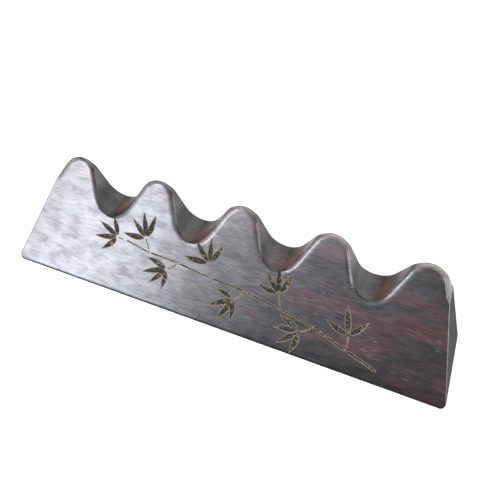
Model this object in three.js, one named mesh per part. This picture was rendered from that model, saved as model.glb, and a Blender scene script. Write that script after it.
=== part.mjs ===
// A desk rest for writing brushes, carved from one block of dark hardwood.
// The block is a wedge: flat base, upright back, front face leaning back. Its top is a row of
// round crests with round troughs between them, cut straight through from front to back, and
// both ends are sawn off leaning inwards, just outside the last crests. A brush handle lies
// across each trough. The carved top has full easy edges; the sawn ends and the base have only
// their sharpness taken off.
// Millimetres, +Z up, +X along the row of crests, +Y towards the back.
// The origin is the middle of the base.
import * as THREE from 'three';

// Driving dimensions. The length follows from the row of crests and its ends, and is 160.
const CREST_COUNT = 5;
const CREST_PITCH = 31.25;
const HEIGHT = 33.5;             // base to the top of a crest
const TROUGH_FLOOR = 20.6;       // base to the bottom of a trough
const TROUGH_RADIUS = 7;
const FLANK_RUN = 6.7;           // straight run between the round of a crest and of a trough
const DEPTH = 29;                // front to back at the base, over the eased edges
const CREST_THICKNESS = 1.7;     // front to back at the top of a crest, before its easing
const END_LEAN = 20.7;           // degrees from upright
const SHOULDER_DROP = 7.1;       // top of a crest down to where its flank meets the sawn end
const SHOULDER_EASING = 0.8;     // the shoulder is eased this far up and down from its corner
const CARVED_EDGE_RADIUS = 1.5;  // edges of the carved top
const SAWN_EDGE_RADIUS = 0.5;    // edges round the ends and the base
const CORNER_RADIUS = 1.6;       // the base corners, seen from the front

// Where the wall is too thin for a carved edge, front and back easing take this share of it.
const WALL_SHARE = 0.95;

// Fineness of the curves
const ROUND_STEPS = 16;
const CORNER_STEPS = 8;
const SHOULDER_STEPS = 4;
const EDGE_STEPS = 5;

const COLOUR = 0x3a2a2c;
const ROUGHNESS = 0.38;

const { lerp, degToRad } = THREE.MathUtils;
const BASE_ANGLE = -Math.PI / 2;
const END_ANGLE = degToRad(END_LEAN);

// A straight flank touches the round of a crest and that of the next trough. The two radii add
// up to what gives the flank its run; the trough has its own radius and the crest has the rest.
const RISE = HEIGHT - TROUGH_FLOOR;
const BOTH_RADII = ((CREST_PITCH / 2) ** 2 + RISE ** 2 - FLANK_RUN ** 2) / (2 * RISE);
const CREST_RADIUS = BOTH_RADII - TROUGH_RADIUS;
const FLANK_SLOPE = Math.atan2(RISE - BOTH_RADII, CREST_PITCH / 2)
  + Math.atan2(BOTH_RADII, FLANK_RUN);
const FLANK_ANGLE = Math.PI / 2 - FLANK_SLOPE;

// The front face touches the easing of the base's front edge and passes through the front edge
// that a crest would have without its easing.
const FRONT_RISE = HEIGHT - SAWN_EDGE_RADIUS;
const FRONT_RUN = DEPTH - CREST_THICKNESS - SAWN_EDGE_RADIUS;
const FRONT_LEAN = Math.atan2(FRONT_RUN, FRONT_RISE)
  + Math.asin(SAWN_EDGE_RADIUS / Math.hypot(FRONT_RUN, FRONT_RISE));

// Where the front face is at a height.
function frontAt(z) {
  return DEPTH / 2 - CREST_THICKNESS - (HEIGHT - z) * Math.tan(FRONT_LEAN);
}

const direction = (angle) => new THREE.Vector2(Math.cos(angle), Math.sin(angle));

// Centre of a circle that touches two lines from inside. Each line is given by the angle of its
// outward normal and its distance from the origin along that normal.
function tangentCentre(first, second, radius) {
  const a = first.distance - radius;
  const b = second.distance - radius;
  const det = Math.sin(second.angle - first.angle);
  return new THREE.Vector2(
    (a * Math.sin(second.angle) - b * Math.sin(first.angle)) / det,
    (b * Math.cos(first.angle) - a * Math.cos(second.angle)) / det,
  );
}

// Points along an arc of the outline, with the angles of its outward normal. A hollow arc has a
// negative radius, and its normals point at its centre.
function arcPoints(centre, radius, from, to, steps, carved) {
  return Array.from({ length: steps + 1 }, (_, i) => {
    const normal = direction(lerp(from, to, i / steps));
    return { place: normal.clone().multiplyScalar(radius).add(centre), normal, carved };
  });
}

// Points over the shoulder, a short parabola from the sawn end up to the flank of the last
// crest. Its edges grow from sawn to carved on the way.
function shoulderPoints(corner) {
  const up = direction(END_ANGLE + Math.PI / 2);
  const on = direction(FLANK_ANGLE + Math.PI / 2);
  return Array.from({ length: SHOULDER_STEPS + 1 }, (_, i) => {
    const t = i / SHOULDER_STEPS;
    const along = up.clone().multiplyScalar(1 - t).addScaledVector(on, t).normalize();
    return {
      place: corner.clone()
        .addScaledVector(up, -SHOULDER_EASING * (1 - t) ** 2)
        .addScaledVector(on, SHOULDER_EASING * t ** 2),
      normal: new THREE.Vector2(along.y, -along.x),
      carved: t,
    };
  });
}

const mirrored = (points) => points.map(({ place, normal, carved }) => ({
  place: new THREE.Vector2(-place.x, place.y),
  normal: new THREE.Vector2(-normal.x, normal.y),
  carved,
})).reverse();

// The outline seen from the front, anticlockwise from the right base corner.
function outlinePoints() {
  const lastCrest = CREST_PITCH * (CREST_COUNT - 1) / 2;
  const crestHeight = HEIGHT - CREST_RADIUS;
  const shoulderHeight = HEIGHT - SHOULDER_DROP;
  const shoulder = new THREE.Vector2(
    lastCrest + CREST_RADIUS / Math.cos(FLANK_ANGLE)
      + (crestHeight - shoulderHeight) * Math.tan(FLANK_ANGLE),
    shoulderHeight,
  );
  const base = { angle: BASE_ANGLE, distance: 0 };
  const end = { angle: END_ANGLE, distance: shoulder.dot(direction(END_ANGLE)) };
  const cornerCentre = tangentCentre(base, end, CORNER_RADIUS);
  const corner = arcPoints(cornerCentre, CORNER_RADIUS, BASE_ANGLE, END_ANGLE, CORNER_STEPS, 0);
  const rightEnd = [...corner, ...shoulderPoints(shoulder)];

  const points = [...rightEnd];
  for (let i = CREST_COUNT - 1; i >= 0; i--) {
    const x = CREST_PITCH * i - lastCrest;
    const crest = new THREE.Vector2(x, crestHeight);
    points.push(...arcPoints(
      crest, CREST_RADIUS, FLANK_ANGLE, Math.PI - FLANK_ANGLE, ROUND_STEPS, 1,
    ));
    if (i > 0) {
      const trough = new THREE.Vector2(x - CREST_PITCH / 2, TROUGH_FLOOR + TROUGH_RADIUS);
      points.push(...arcPoints(
        trough, -TROUGH_RADIUS, Math.PI - FLANK_ANGLE, FLANK_ANGLE, ROUND_STEPS, 1,
      ));
    }
  }
  points.push(...mirrored(rightEnd));
  return points;
}

// Radius of the easing at a point of the outline. A carved edge is as full as the wall allows.
function edgeRadius({ place, normal, carved }) {
  const wall = DEPTH / 2 - frontAt(place.y);
  const fullRound = wall
    / (1 + 1 / Math.cos(FRONT_LEAN) - normal.y * Math.tan(FRONT_LEAN));
  return lerp(SAWN_EDGE_RADIUS, Math.min(CARVED_EDGE_RADIUS, WALL_SHARE * fullRound), carved);
}

// Directions from one unit vector round to another in equal turns.
function turnBetween(from, to, steps) {
  const angle = from.angleTo(to);
  return Array.from({ length: steps + 1 }, (_, i) => {
    const t = i / steps;
    return from.clone().multiplyScalar(Math.sin((1 - t) * angle))
      .addScaledVector(to, Math.sin(t * angle))
      .divideScalar(Math.sin(angle));
  });
}

// The rings of points round one place of the outline, from the front face over an eased edge to
// the rim, across it and over an eased edge to the back. A ball that touches the rim and a face
// from inside makes each easing.
function ringPoints(point) {
  const frontNormal = new THREE.Vector3(0, -Math.cos(FRONT_LEAN), Math.sin(FRONT_LEAN));
  const backNormal = new THREE.Vector3(0, 1, 0);
  const radius = edgeRadius(point);
  const rimNormal = new THREE.Vector3(point.normal.x, 0, point.normal.y);
  const { x, y: z } = point.place.clone().addScaledVector(point.normal, -radius);
  const front = new THREE.Vector3(x, frontAt(z) + radius / Math.cos(FRONT_LEAN), z);
  const back = new THREE.Vector3(x, DEPTH / 2 - radius, z);
  return [
    ...turnBetween(frontNormal, rimNormal, EDGE_STEPS)
      .map((way) => way.multiplyScalar(radius).add(front)),
    ...turnBetween(rimNormal, backNormal, EDGE_STEPS)
      .map((way) => way.multiplyScalar(radius).add(back)),
  ];
}

// The block as one closed skin: a strip of rings all round it, capped by the front and the back.
function rackBody() {
  const rows = outlinePoints().map(ringPoints);
  const rings = 2 * (EDGE_STEPS + 1);
  const vertex = (row, ring) => (row % rows.length) * rings + ring;
  const faces = [];
  for (let row = 0; row < rows.length; row++) {
    for (let ring = 0; ring < rings - 1; ring++) {
      faces.push(vertex(row, ring), vertex(row + 1, ring + 1), vertex(row + 1, ring));
      faces.push(vertex(row, ring), vertex(row, ring + 1), vertex(row + 1, ring + 1));
    }
  }
  const cap = (ring) => THREE.ShapeUtils.triangulateShape(
    rows.map((row) => new THREE.Vector2(row[ring].x, row[ring].z)), [],
  );
  for (const [a, b, c] of cap(0)) {
    faces.push(vertex(a, 0), vertex(b, 0), vertex(c, 0));
  }
  for (const [a, b, c] of cap(rings - 1)) {
    faces.push(vertex(a, rings - 1), vertex(c, rings - 1), vertex(b, rings - 1));
  }

  const geometry = new THREE.BufferGeometry().setFromPoints(rows.flat());
  geometry.setIndex(faces);
  geometry.computeVertexNormals();
  return geometry;
}

const hardwood = new THREE.MeshStandardMaterial({
  color: COLOUR,
  roughness: ROUGHNESS,
  metalness: 0,
});
const body = new THREE.Mesh(rackBody(), hardwood);
body.name = 'rack_body';

const brushRack = new THREE.Group();
brushRack.name = 'brush_rack';
brushRack.add(body);

export default brushRack;
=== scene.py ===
"""A carved blackwood brush rack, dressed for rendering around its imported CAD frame."""

from __future__ import annotations

import logging
import math
from dataclasses import dataclass, field
from enum import Enum

import bmesh
import bpy
from mathutils import Matrix, Vector, noise


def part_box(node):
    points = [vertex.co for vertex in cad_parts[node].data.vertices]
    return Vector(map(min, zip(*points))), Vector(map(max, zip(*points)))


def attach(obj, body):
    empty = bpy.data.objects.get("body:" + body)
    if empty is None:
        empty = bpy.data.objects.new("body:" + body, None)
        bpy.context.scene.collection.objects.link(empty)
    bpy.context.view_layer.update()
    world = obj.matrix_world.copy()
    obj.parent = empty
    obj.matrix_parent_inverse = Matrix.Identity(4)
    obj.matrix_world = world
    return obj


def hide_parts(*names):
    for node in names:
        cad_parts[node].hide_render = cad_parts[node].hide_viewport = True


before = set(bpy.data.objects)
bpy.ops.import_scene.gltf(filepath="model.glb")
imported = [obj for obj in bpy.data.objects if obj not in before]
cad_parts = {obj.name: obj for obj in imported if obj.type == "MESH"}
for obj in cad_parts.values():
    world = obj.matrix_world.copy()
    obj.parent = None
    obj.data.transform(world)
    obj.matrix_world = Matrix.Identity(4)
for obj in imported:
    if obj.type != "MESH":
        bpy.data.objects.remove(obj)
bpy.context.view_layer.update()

LOG = logging.getLogger("brush_rack")
MM = 0.001

Colour = tuple[float, float, float, float]
Span = tuple[float, float]
Tree = bpy.types.NodeTree
Socket = bpy.types.NodeSocket


def linear(hex_colour: str) -> Colour:
    """Turn an sRGB hex colour into linear RGBA.

    Args:
        hex_colour: six hex digits, such as "3a2a2c".

    Returns:
        The linear colour, opaque.
    """
    channels = [int(hex_colour[i:i + 2], 16) / 255 for i in (0, 2, 4)]
    red, green, blue = (
        c / 12.92 if c <= 0.04045 else ((c + 0.055) / 1.055) ** 2.4 for c in channels
    )
    return red, green, blue, 1.0


def add_node(
    tree: Tree,
    kind: str,
    links: dict[str | int, Socket] | None = None,
    values: dict[str | int, object] | None = None,
    stops: tuple[tuple[float, Colour], ...] = (),
    **settings: object,
) -> bpy.types.Node:
    """Add a shader node with its settings, values and incoming links.

    Args:
        tree: the node tree that gets it.
        kind: the node's type, without the leading ShaderNode.
        links: for an input's name or number, the output socket that feeds it.
        values: for an input's name or number, its constant.
        stops: the places and colours of a colour ramp.
        settings: attributes of the node itself.

    Returns:
        The new node.
    """
    node = tree.nodes.new("ShaderNode" + kind)
    for name, value in settings.items():
        setattr(node, name, value)
    for key, value in (values or {}).items():
        node.inputs[key].default_value = value
    for key, socket in (links or {}).items():
        tree.links.new(socket, node.inputs[key])
    if stops:
        elements = node.color_ramp.elements
        while len(elements) < len(stops):
            elements.new(0.5)
        for element, (position, colour) in zip(elements, stops):
            element.position = position
            element.color = colour
    return node


def new_material(name: str) -> bpy.types.Material:
    """Make an empty node material.

    Args:
        name: the material's name.

    Returns:
        The material, with no node in it.
    """
    material = bpy.data.materials.new(name)
    material.use_nodes = True
    material.node_tree.nodes.clear()
    return material


def arc_steps(start: float, end: float, steps: int) -> list[float]:
    """List equal steps from start to end, both included."""
    return [start + (end - start) * i / steps for i in range(steps + 1)]


def metres(span: Span) -> Span:
    """Turn a span in millimetres into metres."""
    return span[0] * MM, span[1] * MM


def overlap(
    tree: Tree, masks: tuple[tuple[Socket, Span, Span], ...], share: Socket | None = None,
) -> Socket:
    """Multiply masks, each of which fades between two values of what it goes by.

    Args:
        tree: the node tree that gets them.
        masks: for each mask what it goes by, where it fades there, and from what to what.
        share: a mask that is there already.

    Returns:
        The product.
    """
    for source, (near, far), (start, end) in masks:
        faded = add_node(
            tree, "MapRange", {"Value": source},
            {"From Min": near, "From Max": far, "To Min": start, "To Max": end},
        ).outputs[0]
        if share is None:
            share = faded
        else:
            share = add_node(tree, "Math", {0: share, 1: faded}, operation="MULTIPLY").outputs[0]
    return share


class Layer(Enum):
    """The patterns that the finish of the wood is mixed from."""

    CLOUD = "cloud"
    STREAK = "streak"
    PORE = "pore"
    CLUSTER = "cluster"
    SANDING = "sanding"
    MOTTLE = "mottle"
    PATCH = "patch"
    SHEEN = "sheen"


@dataclass(frozen=True)
class GrainPattern:
    """A noise drawn out along the grain, sized by its length and width in millimetres."""

    layer: Layer
    length_mm: float
    width_mm: float
    detail: float


@dataclass(frozen=True)
class WoodPoint:
    """What the finish goes by at the point that is shaded: sockets of one node tree."""

    tree: Tree
    along: Socket
    height: Socket
    upward: Socket
    across: Socket
    layers: dict[Layer, Socket]
    in_trough: Socket
    left_facing_walls: Socket


@dataclass(frozen=True)
class WaxedBlackwood:
    """African blackwood, sawn with the grain, filed and sanded, then waxed and polished by rubbing.

    The wood is a near-black charcoal with soft plum and maroon clouds along the grain, and the
    red runs out towards the left end and the foot. Sanding along the grain leaves fine lines
    that break the sheen into streaks. The wax gives a satin sheen, patchy where the rubbing was
    uneven and brightest on the easings, and it dries pale in the few open pores. The tops of the
    crests are paler, most at the right: partly wear from handling, partly a painted highlight.
    In the troughs the file left the steep sides dull. The walls that face left are painted a
    lighter red-brown with a dimmed sheen, painted light and painted shade. The colour darkens
    towards the foot, and so does the sheen along its lowest line, both painted shade.
    """

    # Colour of the wood as it grew, and how far the redness of the clouds is shifted
    charcoal: str = "131311"
    plum: str = "1b1717"
    maroon: str = "2a1a1b"
    cloud_stops: tuple[float, float, float, float] = (0.38, 0.50, 0.62, 0.76)
    streak_shade: Span = (0.55, 1.4)
    red_along_mm: Span = (-25.0, 55.0)
    red_shift_along: Span = (-0.12, 0.015)
    red_up_mm: Span = (2.5, 9.0)
    red_shift_up: Span = (-0.06, 0.02)

    # Colour of the wear and painted highlight on the crest tops, of the painted light on the trough
    # walls that face left, of the wax, and of the painted shade at the foot; upward is the Z of the
    # normal
    # The pale tone of the crest tops is partly wear, partly a painted highlight.
    worn_highlight: str = "7d7671"
    highlight_up_mm: Span = (30.4, 33.0)
    highlight_upward: Span = (0.67, 0.86)
    highlight_along_mm: Span = (-35.0, 35.0)
    # The trough walls that face left are painted this lighter red-brown: painted light.
    painted_wall_red: str = "3d2c29"
    wax: str = "5e5657"
    # Over this height the colour darkens towards the foot: painted shade.
    foot_shade_mm: float = 7.0

    # Roughness, and the turns of the normal to the side, across and up that tell where it is
    roughness: float = 0.3
    rubbed_roughness: float = 0.21
    bottom_roughness: float = 0.3
    dull_roughness: float = 0.6
    easing_across: Span = (0.64, 0.75)
    bottom_upward: Span = (0.55, 0.95)
    trough_across: Span = (0.25, 0.5)
    trough_up_mm: Span = (24.5, 28.5)
    # The trough walls that face this way get painted light and painted shade.
    left_facing_x: Span = (0.35, -0.55)

    # Sheen of the wax, and the painted shade that dims it on the trough walls that face left and
    # along the foot
    ior: float = 1.5
    polish: tuple[tuple[float, str], ...] = (
        (0.38, "bdbbc1"), (0.46, "d7d6db"), (0.53, "edeef1"), (0.61, "ffffff"),
    )
    # Painted shade: this dims the sheen of the trough walls that face left.
    painted_wall_shade: str = "8a8886"
    # Painted shade: this dims the sheen along the foot's lowest line.
    foot_line_shade: str = "2c2a29"
    foot_line_shade_mm: Span = (0.9, 1.35)

    # Patterns of the grain, and the depth of those that can be felt
    patterns: tuple[GrainPattern, ...] = (
        GrainPattern(Layer.CLOUD, 28.0, 6.5, 4.0),
        GrainPattern(Layer.STREAK, 5.5, 0.32, 3.0),
        # Real pores are about 0.1 mm wide; they are drawn wider to show at all.
        GrainPattern(Layer.PORE, 3.0, 0.26, 0.0),
        GrainPattern(Layer.CLUSTER, 20.0, 8.0, 1.0),
        # The scratches of the sandpaper are finer too, and are drawn wider for the same reason.
        GrainPattern(Layer.SANDING, 16.0, 0.28, 2.0),
        GrainPattern(Layer.MOTTLE, 4.5, 2.2, 2.0),
        GrainPattern(Layer.PATCH, 7.0, 4.0, 6.0),
        GrainPattern(Layer.SHEEN, 3.0, 0.42, 3.0),
    )
    pattern_spacing: float = 7.3
    sway_mm: float = 38.0
    sway_depth_mm: float = 1.6
    relief_mm: tuple[tuple[Layer, float], ...] = (
        (Layer.MOTTLE, 0.05), (Layer.STREAK, 0.02), (Layer.SANDING, 0.01), (Layer.PORE, -0.004),
    )

    def build(self) -> bpy.types.Material:
        """Build the wood.

        Returns:
            The material.
        """
        material = new_material("waxed_blackwood")
        point = self.survey(material.node_tree)
        shader = add_node(
            point.tree, "BsdfPrincipled",
            {
                "Base Color": self.pores_and_foot_shade(point, self.wear_and_painted_light(point, self.grown(point))),
                "Roughness": self.filed(point),
                "Normal": self.relief(point),
                "Specular Tint": self.sheen(point),
            },
            {"IOR": self.ior},
        )
        add_node(point.tree, "OutputMaterial", {"Surface": shader.outputs[0]})
        return material

    def survey(self, tree: Tree) -> WoodPoint:
        """Add the nodes that tell where the shaded point lies and how it was worked.

        Args:
            tree: the material's node tree.

        Returns:
            The sockets that the finish goes by.
        """
        coordinates = add_node(tree, "TexCoord").outputs
        place = add_node(tree, "SeparateXYZ", {0: coordinates["Object"]}).outputs
        facing = add_node(tree, "SeparateXYZ", {0: coordinates["Normal"]}).outputs
        across = add_node(tree, "Math", {0: facing["Y"]}, operation="ABSOLUTE").outputs[0]
        in_trough = overlap(tree, (
            (across, self.trough_across, (1.0, 0.0)),
            (place["Z"], metres(self.trough_up_mm), (1.0, 0.0)),
        ))
        # The trough walls that face left, which get painted light and painted shade.
        left_facing_walls = overlap(tree, ((facing["X"], self.left_facing_x, (0.0, 1.0)),), in_trough)
        return WoodPoint(
            tree=tree, along=place["X"], height=place["Z"], upward=facing["Z"], across=across,
            layers=self.layers(tree, coordinates["Object"]), in_trough=in_trough, left_facing_walls=left_facing_walls,
        )

    def layers(self, tree: Tree, place: Socket) -> dict[Layer, Socket]:
        """Add the patterns of the grain, each drawn out along the block.

        Args:
            tree: the material's node tree.
            place: the point that is shaded.

        Returns:
            For each pattern, the socket that gives its strength.
        """
        # The grain sways a little, so its lines are not ruled.
        sway = add_node(
            tree, "TexNoise", {"Vector": place},
            {"Scale": 1 / (self.sway_mm * MM), "Detail": 1.0},
        )
        centred = add_node(
            tree, "VectorMath", {0: sway.outputs["Color"]}, {1: (0.5, 0.5, 0.5)},
            operation="SUBTRACT",
        )
        offset = add_node(
            tree, "VectorMath", {0: centred.outputs[0]},
            {1: (0.0, self.sway_depth_mm * MM, self.sway_depth_mm * MM)}, operation="MULTIPLY",
        )
        grain = add_node(
            tree, "VectorMath", {0: place, 1: offset.outputs[0]}, operation="ADD",
        ).outputs[0]

        layers = {}
        for i, pattern in enumerate(self.patterns):
            across = 1 / (pattern.width_mm * MM)
            stretched = add_node(
                tree, "Mapping", {"Vector": grain},
                {
                    "Scale": (1 / (pattern.length_mm * MM), across, across),
                    "Location": (i * self.pattern_spacing, 0.0, 0.0),
                },
            )
            layers[pattern.layer] = add_node(
                tree, "TexNoise", {"Vector": stretched.outputs[0]},
                {"Scale": 1.0, "Detail": pattern.detail, "Roughness": 0.55},
            ).outputs["Fac"]
        return layers

    def grown(self, point: WoodPoint) -> Socket:
        """Colour the wood as it grew, in clouds that the grain streaks.

        Args:
            point: what the finish goes by.

        Returns:
            The colour.
        """
        # The red heart runs out towards the left end and the foot, which are plain charcoal.
        redness = point.layers[Layer.CLOUD]
        for source, span, (start, end) in (
            (point.along, metres(self.red_along_mm), self.red_shift_along),
            (point.height, metres(self.red_up_mm), self.red_shift_up),
        ):
            shift = add_node(
                point.tree, "MapRange", {"Value": source},
                {"From Min": span[0], "From Max": span[1], "To Min": start, "To Max": end},
            ).outputs[0]
            redness = add_node(
                point.tree, "Math", {0: redness, 1: shift}, operation="ADD",
            ).outputs[0]
        tones = (self.charcoal, self.plum, self.maroon, self.plum)
        clouds = add_node(
            point.tree, "ValToRGB", {"Fac": redness},
            stops=tuple(zip(self.cloud_stops, map(linear, tones))),
        ).outputs["Color"]
        dark, light = self.streak_shade
        shade = add_node(
            point.tree, "MapRange", {"Value": point.layers[Layer.STREAK]},
            {"From Min": 0.35, "From Max": 0.65, "To Min": dark, "To Max": light},
        ).outputs[0]
        return add_node(
            point.tree, "VectorMath", {0: clouds, "Scale": shade}, operation="SCALE",
        ).outputs[0]

    def wear_and_painted_light(self, point: WoodPoint, wood: Socket) -> Socket:
        """Pale the crest tops with wear and a painted highlight; paint the walls that face left
        lighter.

        Args:
            point: what the finish goes by.
            wood: the colour of the wood as it grew.

        Returns:
            The colour.
        """
        # Hands wear the tops, which are high on the block and face up, and the right ones most; the
        # pale tone there is also a painted highlight.
        worn_and_lit = overlap(point.tree, (
            (point.height, metres(self.highlight_up_mm), (0.0, 1.0)),
            (point.upward, self.highlight_upward, (0.0, 0.6)),
            (point.layers[Layer.SHEEN], (0.35, 0.6), (0.45, 1.2)),
            (point.along, metres(self.highlight_along_mm), (0.3, 1.0)),
        ))
        # The trough walls that face left are painted a lighter red-brown, a painted light, more of
        # it in some clouds than in others.
        painted_wall_red = overlap(
            point.tree, ((point.layers[Layer.CLOUD], (0.4, 0.6), (0.15, 0.65)),), point.left_facing_walls,
        )
        for share, tone in ((worn_and_lit, self.worn_highlight), (painted_wall_red, self.painted_wall_red)):
            wood = add_node(
                point.tree, "Mix", {0: share, 6: wood}, {7: linear(tone)}, data_type="RGBA",
            ).outputs[2]
        return wood

    def pores_and_foot_shade(self, point: WoodPoint, wood: Socket) -> Socket:
        """Leave pale wax in the open pores, and darken the colour towards the foot as painted
        shade.

        Args:
            point: what the finish goes by.
            wood: the colour with its wear and painted light.

        Returns:
            The colour.
        """
        open_pores = overlap(point.tree, (
            (point.layers[Layer.PORE], (0.69, 0.78), (0.0, 0.45)),
            (point.layers[Layer.CLUSTER], (0.5, 0.62), (0.0, 1.0)),
        ))
        waxed = add_node(
            point.tree, "Mix", {0: open_pores, 6: wood}, {7: linear(self.wax)}, data_type="RGBA",
        ).outputs[2]
        # Painted shade: the colour darkens towards the foot.
        foot_shade = add_node(
            point.tree, "MapRange", {"Value": point.height},
            {"From Min": 0.0, "From Max": self.foot_shade_mm * MM, "To Min": 0.45, "To Max": 1.0},
        ).outputs[0]
        return add_node(
            point.tree, "VectorMath", {0: waxed, "Scale": foot_shade}, operation="SCALE",
        ).outputs[0]

    def filed(self, point: WoodPoint) -> Socket:
        """Say how rough the file and the rubbing left the wood.

        Args:
            point: what the finish goes by.

        Returns:
            The roughness.
        """
        eased = add_node(
            point.tree, "MapRange", {"Value": point.across},
            {
                "From Min": self.easing_across[0], "From Max": self.easing_across[1],
                "To Min": self.rubbed_roughness, "To Max": self.roughness,
            },
        ).outputs[0]
        # Brushes keep the bottom of a trough smooth, but not its steep sides.
        trough = add_node(
            point.tree, "MapRange", {"Value": point.upward},
            {
                "From Min": self.bottom_upward[0], "From Max": self.bottom_upward[1],
                "To Min": self.dull_roughness, "To Max": self.bottom_roughness,
            },
        ).outputs[0]
        return add_node(
            point.tree, "Mix", {0: point.in_trough, 2: eased, 3: trough}, data_type="FLOAT",
        ).outputs[0]

    def relief(self, point: WoodPoint) -> Socket:
        """Raise the fine relief of the grain, the sanding and the pores.

        Args:
            point: what the finish goes by.

        Returns:
            The bumped normal.
        """
        links = {}
        for layer, depth_mm in self.relief_mm:
            links["Height"] = point.layers[layer]
            links["Normal"] = add_node(
                point.tree, "Bump", links, {"Strength": 1.0, "Distance": depth_mm * MM},
            ).outputs["Normal"]
        return links["Normal"]

    def sheen(self, point: WoodPoint) -> Socket:
        """Tint the sheen of the wax, which is patchy and streaked, and dimmed by painted shade on
        the trough walls that face left and along the foot.

        Args:
            point: what the finish goes by.

        Returns:
            The tint.
        """
        rubbing = add_node(
            point.tree, "Mix", {2: point.layers[Layer.PATCH], 3: point.layers[Layer.SHEEN]},
            {0: 0.45}, data_type="FLOAT",
        ).outputs[0]
        tint = add_node(
            point.tree, "ValToRGB", {"Fac": rubbing},
            stops=tuple((stop, linear(tone)) for stop, tone in self.polish),
        ).outputs["Color"]
        # Painted shade along the very foot takes the shine off in a thin line.
        shade_from, shade_to = metres(self.foot_line_shade_mm)
        foot_line_shaded = add_node(
            point.tree, "MapRange", {"Value": point.height},
            {"From Min": shade_from, "From Max": shade_to, "To Min": 1.0, "To Max": 0.0},
        ).outputs[0]
        # Painted shade: the sheen is dimmed on the trough walls that face left and along the foot.
        for share, tone in ((point.left_facing_walls, self.painted_wall_shade), (foot_line_shaded, self.foot_line_shade)):
            tint = add_node(
                point.tree, "Mix", {0: share, 6: tint}, {7: linear(tone)}, data_type="RGBA",
            ).outputs[2]
        return tint


@dataclass(frozen=True)
class SawnBlackwood:
    """The same wood as the saw left it, on both ends and under the block, with hardly any wax.

    The open ends of the fibres drink the wax, so the saw cut stays dull, dark and even, with
    only the fine dots of the pores and the faint lines of the saw.
    """

    fibre: str = "201f1c"
    pore: str = "0f0f0d"
    roughness: float = 0.8
    gloss: float = 0.12
    # Cut pores are about 0.1 mm across; their dots are drawn larger to show at all.
    dot_mm: float = 0.45
    saw_pitch_mm: float = 0.7
    saw_reach_mm: float = 26.0
    saw_depth_mm: float = 0.02

    def build(self) -> bpy.types.Material:
        """Build the sawn wood.

        Returns:
            The material.
        """
        material = new_material("sawn_blackwood")
        tree = material.node_tree
        place = add_node(tree, "TexCoord").outputs["Object"]
        dots = add_node(
            tree, "TexNoise", {"Vector": place},
            {"Scale": 1 / (self.dot_mm * MM), "Detail": 2.0},
        ).outputs["Fac"]
        reach, pitch = 1 / (self.saw_reach_mm * MM), 1 / (self.saw_pitch_mm * MM)
        drawn = add_node(
            tree, "Mapping", {"Vector": place}, {"Scale": (reach, pitch, reach)},
        ).outputs[0]
        saw = add_node(
            tree, "TexNoise", {"Vector": drawn}, {"Scale": 1.0, "Detail": 2.0},
        ).outputs["Fac"]
        colour = add_node(
            tree, "ValToRGB", {"Fac": dots},
            stops=((0.36, linear(self.pore)), (0.52, linear(self.fibre))),
        ).outputs["Color"]
        normal = add_node(
            tree, "Bump", {"Height": saw},
            {"Strength": 1.0, "Distance": self.saw_depth_mm * MM},
        ).outputs["Normal"]
        shader = add_node(
            tree, "BsdfPrincipled", {"Base Color": colour, "Normal": normal},
            {"Roughness": self.roughness, "Specular IOR Level": self.gloss},
        )
        add_node(tree, "OutputMaterial", {"Surface": shader.outputs[0]})
        return material


@dataclass(frozen=True)
class CutPaint:
    """Bronze powder lies old in the cuts, under dark ink brushed over it and wiped from the face.

    The wiping leaves the ink only low in a cut, so its lips show as thin lines of the powder,
    partly a painted highlight of the lips. Where the ink has chipped, some of the powder shows
    inside the cut too.
    """

    ink: str = "0f0d0c"
    # The powder's colour, which at the lips is partly a painted highlight.
    lip_powder_and_highlight: str = "5c5344"
    roughness: float = 0.85
    gloss: float = 0.25
    # The ink starts between these depths, more or less by the depth of a crumb.
    ink_down_mm: Span = (0.1, 0.17)
    crumb_mm: float = 0.8
    crumb_depth_mm: float = 0.09
    chipped: Span = (0.54, 0.66)
    ink_left: float = 0.35

    def build(self, face: LeaningFace) -> bpy.types.Material:
        """Build the paint.

        Args:
            face: the face that the cuts are measured from.

        Returns:
            The material.
        """
        material = new_material("ink_over_bronze")
        tree = material.node_tree
        place = add_node(tree, "TexCoord").outputs["Object"]
        out = add_node(
            tree, "VectorMath", {0: place}, {1: face.normal}, operation="DOT_PRODUCT",
        ).outputs["Value"]
        depth = add_node(
            tree, "Math", {1: out}, {0: face.point(0, 0).dot(face.normal)}, operation="SUBTRACT",
        ).outputs[0]
        crumbs = add_node(
            tree, "TexNoise", {"Vector": place}, {"Scale": 1 / (self.crumb_mm * MM), "Detail": 2.0},
        ).outputs["Fac"]
        crumb_depth = self.crumb_depth_mm * MM
        uneven = add_node(
            tree, "MapRange", {"Value": crumbs},
            {"From Min": 0.3, "From Max": 0.7, "To Min": -crumb_depth, "To Max": crumb_depth},
        ).outputs[0]
        level = add_node(tree, "Math", {0: depth, 1: uneven}, operation="ADD").outputs[0]
        # The powder left pale at the lips is partly a painted highlight.
        covered = overlap(tree, (
            (level, metres(self.ink_down_mm), (0.0, 1.0)),
            (crumbs, self.chipped, (1.0, self.ink_left)),
        ))
        colour = add_node(
            tree, "Mix", {0: covered}, {6: linear(self.lip_powder_and_highlight), 7: linear(self.ink)},
            data_type="RGBA",
        ).outputs[2]
        shader = add_node(
            tree, "BsdfPrincipled", {"Base Color": colour},
            {"Roughness": self.roughness, "Specular IOR Level": self.gloss},
        )
        add_node(tree, "OutputMaterial", {"Surface": shader.outputs[0]})
        return material


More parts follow.
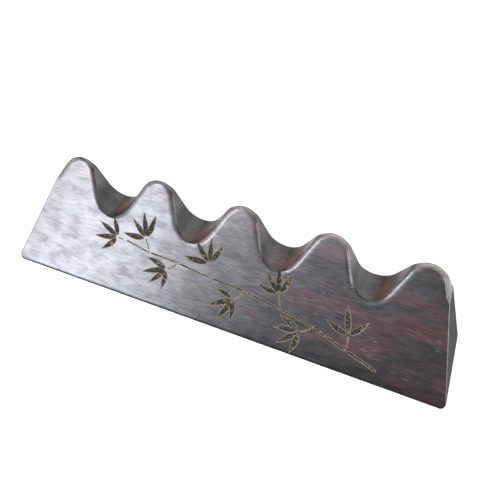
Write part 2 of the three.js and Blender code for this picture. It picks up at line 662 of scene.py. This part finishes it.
@dataclass(frozen=True)
class PaleBoard:
    """A board painted matt white, which gives an even pale ground and almost no shine."""

    paint: str = "dadada"
    roughness: float = 0.9

    def build(self) -> bpy.types.Material:
        """Build the board's paint.

        Returns:
            The material.
        """
        material = new_material("pale_board")
        tree = material.node_tree
        shader = add_node(
            tree, "BsdfPrincipled",
            values={"Base Color": linear(self.paint), "Roughness": self.roughness},
        )
        add_node(tree, "OutputMaterial", {"Surface": shader.outputs[0]})
        return material


class Finish(Enum):
    """The finishes of the block, each with the number of its material slot."""

    WAXED = 0
    PAINTED = 1
    SAWN = 2


@dataclass(frozen=True)
class LeaningFace:
    """The flat front face, as a sheet to draw on: x along the base, up along the slope."""

    foot_mm: float
    lean: float

    @property
    def normal(self) -> Vector:
        """The outward direction of the face."""
        return Vector((0.0, -math.cos(self.lean), math.sin(self.lean)))

    def point(self, x: float, up: float, out: float = 0.0) -> Vector:
        """Place a point that is drawn on the face.

        Args:
            x: millimetres along the base.
            up: millimetres up the slope from the plane of the base.
            out: millimetres in front of the face, or into the wood where it is negative.

        Returns:
            The place in metres.
        """
        foot = Vector((x, self.foot_mm, 0.0))
        slope = Vector((0.0, math.sin(self.lean), math.cos(self.lean)))
        return (foot + up * slope + out * self.normal) * MM


class Cut(Enum):
    """The forms of a single cut of the engraver's tool."""

    LEAF = "leaf"
    CANE = "cane"
    BAR = "bar"


CUT_STEPS = {Cut.LEAF: 14, Cut.CANE: 16, Cut.BAR: 6}


@dataclass(frozen=True)
class Stroke:
    """One cut: it starts at a point of the face, runs at a heading, and bends on its way."""

    kind: Cut
    x: float
    up: float
    heading: float
    length: float
    half_width: float
    bend: float = 0.0

    def breadth(self, t: float) -> float:
        """Give the half width of the cut.

        Args:
            t: how far along the cut, from 0 to 1.

        Returns:
            Millimetres from the middle line to a lip.
        """
        if self.kind is Cut.LEAF:
            # A leaf is fullest before its middle and runs out to a long tip.
            share = math.sin(math.pi * t ** 0.7) ** 0.9
        elif self.kind is Cut.CANE:
            # A cane swells towards the joints at its ends, where the cut is rounded off.
            share = min(1.0, 14 * t, 14 * (1 - t)) * (0.78 + 0.3 * abs(2 * t - 1) ** 3)
        else:
            # The bar over a joint is blunt.
            share = math.sin(math.pi * t) ** 0.6
        return max(0.03, self.half_width * share)

    def middle_line(self, steps: int) -> list[tuple[float, float, float, float]]:
        """Follow the bent middle line of the cut.

        Args:
            steps: how many equal steps to take.

        Returns:
            For each step the place on the face, the heading there and the share travelled.
        """
        x, up = self.x, self.up
        line = []
        for i in range(steps + 1):
            t = i / steps
            heading = self.heading + self.bend * (t - 0.5)
            line.append((x, up, heading, t))
            x += self.length / steps * math.cos(heading)
            up += self.length / steps * math.sin(heading)
        return line


@dataclass
class BambooEngraving:
    """A spray of bamboo cut into the front face: a jointed cane with leaves in fans."""

    face: LeaningFace
    cane: tuple[tuple[float, float], ...] = (
        (57.0, 5.0), (45.5, 8.6), (33.5, 12.4), (21.0, 14.6), (8.0, 16.6),
        (-5.0, 17.2), (-17.5, 18.6), (-29.0, 18.8), (-39.0, 20.6),
    )
    cane_half_width: float = 0.62
    cane_taper: float = 0.42
    cane_bow: float = 0.06
    joint_gap: float = 0.7
    bar_half_length: float = 1.05
    bar_half_width: float = 0.2
    bar_bow: float = 0.9
    twig_start: float = 0.9
    twig_length: float = 4.2
    tip_twig_length: float = 2.0
    twig_half_width: float = 0.3
    twig_bow: float = 0.25
    twig_steps: int = 8
    fan: float = math.radians(104)
    leaf_start: float = 0.7
    leaf_length: float = 9.4
    leaf_half_width: float = 1.05
    leaf_bow: float = 0.5
    leaf_sway: float = 0.22
    leaf_swell: float = 0.2
    outer_leaf_shorter: float = 0.34
    # The section of a cut, as shares of its half width and of its depth
    depth_share: float = 0.62
    flank_share: float = 0.45
    flank_depth: float = 0.8
    least_depth: float = 0.16
    least_depth_from: float = 0.1
    clear: float = 0.6
    strokes: list[Stroke] = field(default_factory=list)

    def lay_out(self) -> None:
        """Draw every cut of the spray."""
        self.lay_out_cane()
        up, down = 1, -1
        # Each twig: the joint it grows from, its side, its lean in degrees and its leaves
        for joint, side, lean, leaves in (
            (1, up, 64, 3), (2, down, 52, 4), (3, up, 58, 4), (4, down, 60, 4),
            (5, up, 66, 4), (6, down, 50, 4), (7, up, 60, 4), (8, down, 12, 4),
        ):
            self.lay_out_twig(joint, side, math.radians(lean), leaves)

    def lay_out_cane(self) -> None:
        """Draw the cane, thinner at each joint, with a short bar across each joint."""
        spans = list(zip(self.cane[:-1], self.cane[1:]))
        for i, ((x0, up0), (x1, up1)) in enumerate(spans):
            run = math.hypot(x1 - x0, up1 - up0)
            heading = math.atan2(up1 - up0, x1 - x0)
            share = 1 - self.cane_taper * i / len(spans)
            gap = self.joint_gap / 2
            self.strokes.append(Stroke(
                Cut.CANE, x0 + gap * math.cos(heading), up0 + gap * math.sin(heading), heading,
                run - 2 * gap, self.cane_half_width * share, bend=self.cane_bow * (-1) ** i,
            ))
            if i:
                half = self.bar_half_length * share
                across = heading + math.pi / 2
                self.strokes.append(Stroke(
                    Cut.BAR, x0 - half * math.cos(across), up0 - half * math.sin(across), across,
                    2 * half, self.bar_half_width, bend=self.bar_bow,
                ))

    def lay_out_twig(self, joint: int, side: int, lean: float, leaves: int) -> None:
        """Draw a twig from a joint of the cane and the fan of leaves at its end.

        Args:
            joint: the number of the joint along the cane.
            side: 1 for a twig above the cane, -1 for one below it.
            lean: the angle between the twig and the cane.
            leaves: how many leaves it bears.
        """
        x0, up0 = self.cane[joint]
        x1, up1 = self.cane[max(joint - 1, 0)]
        along = math.atan2(up0 - up1, x0 - x1)
        heading = along - side * lean
        at_tip = joint == len(self.cane) - 1
        twig = Stroke(
            Cut.CANE,
            x0 + self.twig_start * math.cos(heading), up0 + self.twig_start * math.sin(heading),
            heading, self.tip_twig_length if at_tip else self.twig_length,
            self.twig_half_width, bend=self.twig_bow * side,
        )
        self.strokes.append(twig)
        end_x, end_up, end_heading, _ = twig.middle_line(self.twig_steps)[-1]
        for i in range(leaves):
            t = i / (leaves - 1) - 0.5
            # No two leaves are alike.
            wobble = noise.noise(Vector((joint * 1.7, i * 2.3, 0.5)))
            angle = end_heading + self.fan * t + self.leaf_sway * wobble
            shorter = 1 - self.outer_leaf_shorter * abs(t)
            self.strokes.append(Stroke(
                Cut.LEAF,
                end_x + self.leaf_start * math.cos(angle),
                end_up + self.leaf_start * math.sin(angle),
                angle, self.leaf_length * shorter * (1 + self.leaf_sway * wobble),
                self.leaf_half_width * (1 + self.leaf_swell * wobble), bend=-self.leaf_bow * t,
            ))

    def section(self, width: float) -> tuple[Span, ...]:
        """Give the section of a cut: a rounded groove, open in front of the face.

        Args:
            width: the half width between the lips, in millimetres.

        Returns:
            Places from lip to lip, each to the side and out from the face.
        """
        least = self.least_depth * min(1.0, width / self.least_depth_from)
        depth = max(least, self.depth_share * width)
        side, down = self.flank_share * width, -self.flank_depth * depth
        return (
            (width, self.clear), (width, 0.0), (side, down), (0.0, -depth),
            (-side, down), (-width, 0.0), (-width, self.clear),
        )

    def cutter(self) -> bpy.types.Object:
        """Make the solid that the cuts take out of the block.

        Returns:
            An object of one closed shell for each cut.
        """
        mesh = bmesh.new()
        for stroke in self.strokes:
            rows = []
            for x, up, heading, t in stroke.middle_line(CUT_STEPS[stroke.kind]):
                side_x, side_up = -math.sin(heading), math.cos(heading)
                rows.append([
                    mesh.verts.new(self.face.point(x + side_x * a, up + side_up * a, out))
                    for a, out in self.section(stroke.breadth(t))
                ])
            count = len(rows[0])
            for near, far in zip(rows[:-1], rows[1:]):
                for i in range(count):
                    j = (i + 1) % count
                    mesh.faces.new((near[i], near[j], far[j], far[i]))
            mesh.faces.new(rows[0][::-1])
            mesh.faces.new(rows[-1])
        bmesh.ops.recalc_face_normals(mesh, faces=mesh.faces)
        for polygon in mesh.faces:
            polygon.material_index = Finish.PAINTED.value
        data = bpy.data.meshes.new("engraving_cutter")
        mesh.to_mesh(data)
        mesh.free()
        cutter = bpy.data.objects.new("engraving_cutter", data)
        bpy.context.scene.collection.objects.link(cutter)
        return cutter


@dataclass(frozen=True)
class OutlinePoint:
    """A point of the block's outline seen from the front, with its outward normal's angle."""

    x: float
    z: float
    angle: float
    carved: float


@dataclass
class CarvedBlock:
    """The rack itself: a wedge of wood with a row of crests and troughs carved into its top."""

    half_length: float
    height: float
    depth: float
    back: float
    crest_count: int = 5
    crest_pitch: float = 31.25
    trough_floor: float = 20.6
    trough_radius: float = 7.0
    flank_run: float = 6.7
    crest_thickness: float = 1.7
    end_lean: float = math.radians(20.7)
    shoulder_easing: float = 0.8
    carved_edge: float = 1.5
    sawn_edge: float = 0.5
    corner_radius: float = 1.6
    wall_share: float = 0.95
    round_steps: int = 40
    corner_steps: int = 14
    shoulder_steps: int = 8
    flank_steps: int = 8
    edge_steps: int = 12
    pane_mm: float = 3.7
    # The front face rolls over gently before it reaches the easing.
    roll_over: float = 1.0
    # A hand-held file leaves the easing a little fuller here and there.
    uneven: float = 0.1
    uneven_mm: float = 7.0
    # What faces down more than this belongs to the base.
    base_facing: float = -0.2
    # Past this strip of the easing, the left end's front edge is as the saw left it.
    left_sawn_after: int = 2
    weld_mm: float = 0.0005
    lip_angle: float = math.radians(24)
    crest_radius: float = field(init=False)
    flank_angle: float = field(init=False)
    lean: float = field(init=False)

    def __post_init__(self) -> None:
        """Work out the sizes that follow from the others."""
        rise = self.height - self.trough_floor
        half = self.crest_pitch / 2
        both = (half ** 2 + rise ** 2 - self.flank_run ** 2) / (2 * rise)
        self.crest_radius = both - self.trough_radius
        slope = math.atan2(rise - both, half) + math.atan2(both, self.flank_run)
        self.flank_angle = math.pi / 2 - slope
        front_run = self.depth - self.crest_thickness - self.sawn_edge
        front_rise = self.height - self.sawn_edge
        self.lean = math.atan2(front_run, front_rise) + math.asin(
            self.sawn_edge / math.hypot(front_run, front_rise)
        )

    def front_at(self, z: float) -> float:
        """Say where the front face is at a height, in millimetres."""
        return self.back - self.crest_thickness - (self.height - z) * math.tan(self.lean)

    def face(self) -> LeaningFace:
        """Give the front face to draw on."""
        return LeaningFace(self.front_at(0.0), self.lean)

    def arc(
        self, x: float, z: float, radius: float, start: float, end: float, steps: int,
        carved: float,
    ) -> list[OutlinePoint]:
        """List the points of a round of the outline.

        Args:
            x: the centre, along the base.
            z: the centre, above the base.
            radius: the radius, negative on a hollow round, whose normals point at its centre.
            start: the angle of the first normal.
            end: the angle of the last normal.
            steps: how many steps to take.
            carved: 1 where the edges are carved full, 0 where they are as sawn.

        Returns:
            The points in order.
        """
        return [
            OutlinePoint(x + radius * math.cos(a), z + radius * math.sin(a), a, carved)
            for a in arc_steps(start, end, steps)
        ]

    def right_end(self) -> list[OutlinePoint]:
        """List the points of the right end, from the base round its corner and over the shoulder.

        Returns:
            The points in order, going up.
        """
        lean, flank, radius = self.end_lean, self.flank_angle, self.corner_radius
        corner_x = self.half_length - radius
        points = self.arc(corner_x, radius, radius, -math.pi / 2, lean, self.corner_steps, 0.0)

        # The sharp shoulder is where the sawn end would meet the flank of the last crest.
        last = self.crest_pitch * (self.crest_count - 1) / 2
        end_reach = corner_x * math.cos(lean) + radius * math.sin(lean) + radius
        crest_z = self.height - self.crest_radius
        flank_reach = last * math.cos(flank) + crest_z * math.sin(flank) + self.crest_radius
        between = math.sin(flank - lean)
        x = (end_reach * math.sin(flank) - flank_reach * math.sin(lean)) / between
        z = (flank_reach * math.cos(lean) - end_reach * math.cos(flank)) / between
        for t in arc_steps(0.0, 1.0, self.shoulder_steps):
            below = self.shoulder_easing * (1 - t) ** 2
            above = self.shoulder_easing * t ** 2
            along_x = -(1 - t) * math.sin(lean) - t * math.sin(flank)
            along_z = (1 - t) * math.cos(lean) + t * math.cos(flank)
            points.append(OutlinePoint(
                x + below * math.sin(lean) - above * math.sin(flank),
                z - below * math.cos(lean) + above * math.cos(flank),
                math.atan2(-along_x, along_z),
                t,
            ))
        return points

    def outline(self) -> list[OutlinePoint]:
        """List the whole outline, anticlockwise from the right base corner.

        Returns:
            The points in order, with extra ones along the straight flanks.
        """
        right = self.right_end()
        flank, far = self.flank_angle, math.pi - self.flank_angle
        last = self.crest_pitch * (self.crest_count - 1) / 2
        pieces = [right]
        for i in range(self.crest_count):
            x = last - self.crest_pitch * i
            pieces.append(self.arc(
                x, self.height - self.crest_radius, self.crest_radius, flank, far,
                self.round_steps, 1.0,
            ))
            if i < self.crest_count - 1:
                pieces.append(self.arc(
                    x - self.crest_pitch / 2, self.trough_floor + self.trough_radius,
                    -self.trough_radius, far, flank, self.round_steps, 1.0,
                ))
        pieces.append([
            OutlinePoint(-p.x, p.z, math.pi - p.angle, p.carved) for p in reversed(right)
        ])
        points = list(pieces[0])
        for piece in pieces[1:]:
            start, end = points[-1], piece[0]
            for t in arc_steps(0.0, 1.0, self.flank_steps)[1:-1]:
                points.append(OutlinePoint(
                    start.x + (end.x - start.x) * t, start.z + (end.z - start.z) * t,
                    start.angle, start.carved,
                ))
            points.extend(piece)
        return points

    def edge_radius(self, point: OutlinePoint) -> float:
        """Give the radius of the easing beside a point of the outline.

        Args:
            point: the point.

        Returns:
            Millimetres, no more than the wall allows.
        """
        wall = self.back - self.front_at(point.z)
        full = wall / (1 + 1 / math.cos(self.lean) - math.sin(point.angle) * math.tan(self.lean))
        place = Vector((point.x, 0.0, point.z)) / self.uneven_mm
        carved = self.carved_edge * (1 + self.uneven * noise.noise(place))
        eased = min(carved, self.wall_share * full)
        return self.sawn_edge + (eased - self.sawn_edge) * point.carved

    def ring(self, point: OutlinePoint) -> list[Vector]:
        """List the points round the block beside one point of its outline.

        Args:
            point: the point of the outline.

        Returns:
            Places in millimetres, from the front face over the rim to the back face.
        """
        radius = self.edge_radius(point)
        rim = Vector((math.cos(point.angle), 0.0, math.sin(point.angle)))
        x = point.x - radius * rim.x
        z = point.z - radius * rim.z
        front = Vector((x, self.front_at(z) + radius / math.cos(self.lean), z))
        back = Vector((x, self.back - radius, z))
        face = Vector((0.0, -math.cos(self.lean), math.sin(self.lean)))
        along = (rim - rim.dot(face) * face).normalized()
        near = front + radius * face - self.roll_over * along
        corner = front + radius * (face + math.tan(face.angle(rim) / 2) * along)
        far = front + radius * rim
        places = []
        for t in arc_steps(0.0, 1.0, self.edge_steps):
            even = front + radius * face.slerp(rim, t)
            gentle = (1 - t) ** 2 * near + 2 * t * (1 - t) * corner + t ** 2 * far
            places.append(even.lerp(gentle, point.carved))
        for t in arc_steps(0.0, 1.0, self.edge_steps):
            places.append(back + radius * rim.slerp(Vector((0.0, 1.0, 0.0)), t))
        return places

    def whole_mesh(self) -> bpy.types.Mesh:
        """Make the block before it is engraved.

        Returns:
            One closed skin.
        """
        mesh = bmesh.new()
        outline = self.outline()
        rows = [[mesh.verts.new(v * MM) for v in self.ring(p)] for p in outline]
        for point, near, far in zip(outline, rows, rows[1:] + rows[:1]):
            for i in range(len(near) - 1):
                strip = mesh.faces.new((near[i], near[i + 1], far[i + 1], far[i]))
                strip.material_index = self.finish(point, i).value
        front = mesh.faces.new([row[0] for row in rows])
        back = mesh.faces.new([row[-1] for row in reversed(rows)])
        bmesh.ops.recalc_face_normals(mesh, faces=mesh.faces)
        self.quarter(mesh, front)
        bmesh.ops.triangulate(mesh, faces=[f for f in mesh.faces if len(f.verts) > 4])
        data = bpy.data.meshes.new("brush_rack_wood")
        mesh.to_mesh(data)
        mesh.free()
        return data

    def finish(self, point: OutlinePoint, step: int) -> Finish:
        """Say how a strip of the skin beside a point of the outline is finished.

        Args:
            point: the point of the outline.
            step: the number of the strip, from the front face over the rim to the back.

        Returns:
            Sawn on the ends and all round the base, and waxed elsewhere.
        """
        on_base = math.sin(point.angle) < self.base_facing
        on_end = point.carved == 0.0 and step == self.edge_steps
        on_left = math.cos(point.angle) < 0 and step > self.left_sawn_after
        if on_base or on_end or (point.carved == 0.0 and on_left):
            return Finish.SAWN
        return Finish.WAXED

    def quarter(self, mesh: bmesh.types.BMesh, flat: bmesh.types.BMFace) -> None:
        """Cut a flat face into small panes, so that each takes only a few of the engraver's cuts.

        Args:
            mesh: the mesh that holds it.
            flat: the face.
        """
        panes = bmesh.ops.triangulate(mesh, faces=[flat])["faces"]
        along = Vector((1.0, 0.0, 0.0))
        upward = Vector((0.0, 0.0, 1.0))
        for axis, reach in ((along, self.half_length), (upward, self.height)):
            for i in range(int(-reach / self.pane_mm), int(reach / self.pane_mm) + 1):
                edges = {e for f in panes for e in f.edges}
                verts = {v for f in panes for v in f.verts}
                cut = bmesh.ops.bisect_plane(
                    mesh, geom=[*verts, *edges, *panes],
                    plane_co=axis * (i * self.pane_mm * MM), plane_no=axis,
                )
                panes = [g for g in cut["geom"] if isinstance(g, bmesh.types.BMFace)]

    def build(self, engraving: BambooEngraving) -> bpy.types.Object:
        """Make the engraved block and dress it.

        Args:
            engraving: the cuts in the front face.

        Returns:
            The finished piece.
        """
        piece = bpy.data.objects.new("carved_block", self.whole_mesh())
        bpy.context.scene.collection.objects.link(piece)
        materials = {
            Finish.WAXED: WaxedBlackwood().build(),
            Finish.PAINTED: CutPaint().build(self.face()),
            Finish.SAWN: SawnBlackwood().build(),
        }
        for finish in Finish:
            piece.data.materials.append(materials[finish])
        cutter = engraving.cutter()
        cut = piece.modifiers.new("engrave", "BOOLEAN")
        cut.operation = "DIFFERENCE"
        cut.solver = "EXACT"
        cut.use_self = True
        cut.object = cutter
        self.settle(piece)
        bpy.data.objects.remove(cutter)
        self.sharpen(piece.data)
        weigh = piece.modifiers.new("flat_faces", "WEIGHTED_NORMAL")
        weigh.keep_sharp = True
        self.settle(piece)
        return piece

    def settle(self, piece: bpy.types.Object) -> None:
        """Make a piece's modifiers part of its mesh.

        Args:
            piece: the piece.
        """
        graph = bpy.context.evaluated_depsgraph_get()
        settled = bpy.data.meshes.new_from_object(piece.evaluated_get(graph))
        piece.modifiers.clear()
        piece.data = settled

    def sharpen(self, data: bpy.types.Mesh) -> None:
        """Shade the skin smooth, but keep the lips of the cuts sharp.

        Args:
            data: the mesh of the engraved block.
        """
        mesh = bmesh.new()
        mesh.from_mesh(data)
        bmesh.ops.remove_doubles(mesh, verts=mesh.verts, dist=self.weld_mm * MM)
        for edge in mesh.edges:
            edge.smooth = not (edge.is_manifold and edge.calc_face_angle() > self.lip_angle)
        for polygon in mesh.faces:
            polygon.smooth = True
        mesh.to_mesh(data)
        mesh.free()


@dataclass(frozen=True)
class SoftLight:
    """A flat soft light that looks at the rack."""

    name: str
    azimuth: float
    elevation: float
    distance: float
    width: float
    height: float
    glow: float
    tint: str = "f8f7f8"

    def hang(self) -> None:
        """Hang the light, where azimuth 0 is in front of the rack and 90 to its right."""
        turn, rise = math.radians(self.azimuth), math.radians(self.elevation)
        way = Vector((
            math.sin(turn) * math.cos(rise), -math.cos(turn) * math.cos(rise), math.sin(rise),
        ))
        data = bpy.data.lights.new(self.name, "AREA")
        data.shape = "RECTANGLE"
        data.size = self.width
        data.size_y = self.height
        data.energy = self.glow * math.pi * self.width * self.height
        data.color = linear(self.tint)[:3]
        light = bpy.data.objects.new(self.name, data)
        light.location = way * self.distance
        light.rotation_euler = (-way).to_track_quat("-Z", "Y").to_euler()
        bpy.context.scene.collection.objects.link(light)


@dataclass
class Studio:
    """The pale floor, the soft lights and the camera at the photograph's angle."""

    camera_mm: tuple[float, float, float] = (44.65, -103.07, 161.48)
    azimuth: float = math.radians(19.83)
    elevation: float = math.radians(50.27)
    roll: float = math.radians(-2.36)
    lens_mm: float = 38.67
    sensor_mm: float = 36.0
    nearest_m: float = 0.01
    floor_radius: float = 0.9
    floor_sides: int = 96
    sky: float = 0.02
    # Each light: azimuth and elevation in degrees, distance, width and height in metres, glow.
    lights: tuple[SoftLight, ...] = (
        SoftLight("window", -33.2, 15.0, 1.0, 0.30, 0.57, 33.0, "f5f7ff"),
        SoftLight("window_head", -34.0, 38.0, 1.0, 0.30, 0.30, 27.0, "f5f7ff"),
        SoftLight("window_jamb", -18.0, 15.0, 1.0, 0.30, 0.57, 0.8, "f5f7ff"),
        SoftLight("front_panel", -12.0, 38.0, 1.0, 0.56, 0.30, 5.8, "f0f3fd"),
        SoftLight("window_side", -52.0, 18.0, 1.0, 0.18, 0.42, 14.0, "f5f7ff"),
        SoftLight("door_panel", 24.0, 47.0, 1.0, 0.42, 0.34, 3.0),
        SoftLight("left_panel", -75.0, 27.0, 1.0, 0.55, 0.55, 7.5),
        SoftLight("right_head", 54.0, 36.0, 1.0, 0.24, 0.24, 22.0),
        SoftLight("right_panel", 88.0, 18.0, 1.0, 1.05, 0.50, 11.0),
        SoftLight("back_right_panel", 130.0, 15.0, 1.0, 0.30, 0.57, 4.4, "f5f7ff"),
        SoftLight("back_panel", 160.0, 46.0, 1.0, 0.90, 0.55, 4.0),
        SoftLight("back_left_panel", -150.0, 47.0, 1.0, 0.30, 0.60, 3.3),
        SoftLight("far_left_panel", -128.0, 18.0, 1.0, 0.36, 0.60, 1.7, "fff2e6"),
        SoftLight("high_panel", -25.0, 62.0, 1.0, 0.60, 0.30, 2.4),
        SoftLight("ceiling", 0.0, 89.0, 1.2, 0.60, 0.60, 4.0),
    )

    def build(self) -> None:
        """Set up the floor, the lights and the camera."""
        scene = bpy.context.scene
        scene.view_settings.view_transform = "Standard"
        self.floor()
        scene.world = self.walls()
        for light in self.lights:
            light.hang()
            LOG.info("hung %s", light.name)
        self.camera()

    def walls(self) -> bpy.types.World:
        """Make the studio's walls, which look white but give the rack hardly any light.

        Returns:
            The world.
        """
        world = bpy.data.worlds.new("studio")
        world.use_nodes = True
        tree = world.node_tree
        tree.nodes.clear()
        seen = add_node(tree, "LightPath").outputs["Is Camera Ray"]
        strength = add_node(
            tree, "MapRange", {"Value": seen}, {"To Min": self.sky, "To Max": 1.0},
        ).outputs[0]
        white = add_node(
            tree, "Background", {"Strength": strength}, {"Color": (1.0, 1.0, 1.0, 1.0)},
        )
        add_node(tree, "OutputWorld", {"Surface": white.outputs[0]})
        return world

    def floor(self) -> None:
        """Lay the floor that the rack stands on."""
        data = bpy.data.meshes.new("floor")
        rim = [
            (self.floor_radius * math.cos(a), self.floor_radius * math.sin(a), 0.0)
            for a in arc_steps(0.0, 2 * math.pi, self.floor_sides)[:-1]
        ]
        data.from_pydata(rim, [], [tuple(range(len(rim)))])
        data.materials.append(PaleBoard().build())
        floor = bpy.data.objects.new("floor", data)
        bpy.context.scene.collection.objects.link(floor)

    def camera(self) -> None:
        """Place the camera where the photograph was taken from."""
        data = bpy.data.cameras.new("camera")
        data.sensor_width = self.sensor_mm
        data.lens = self.lens_mm
        data.clip_start = self.nearest_m
        camera = bpy.data.objects.new("camera", data)
        back = Vector((
            math.sin(self.azimuth) * math.cos(self.elevation),
            -math.cos(self.azimuth) * math.cos(self.elevation),
            math.sin(self.elevation),
        ))
        look = (-back).to_track_quat("-Z", "Y").to_matrix().to_4x4()
        turn = look @ Matrix.Rotation(-self.roll, 4, "Z")
        camera.matrix_world = Matrix.Translation(Vector(self.camera_mm) * MM) @ turn
        bpy.context.scene.collection.objects.link(camera)
        bpy.context.scene.camera = camera


def main() -> None:
    """Build the rack and the studio."""
    logging.basicConfig(level=logging.INFO, format="%(name)s: %(message)s")
    low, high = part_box("rack_body")
    block = CarvedBlock(
        half_length=high[0] / MM, height=high[2] / MM, depth=(high[1] - low[1]) / MM,
        back=high[1] / MM,
    )
    engraving = BambooEngraving(block.face())
    engraving.lay_out()
    LOG.info("laid out %d cuts", len(engraving.strokes))
    piece = block.build(engraving)
    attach(piece, "root")
    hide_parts("rack_body")
    LOG.info("built %s with %d faces", piece.name, len(piece.data.polygons))
    Studio().build()


if __name__ == "__main__":
    main()
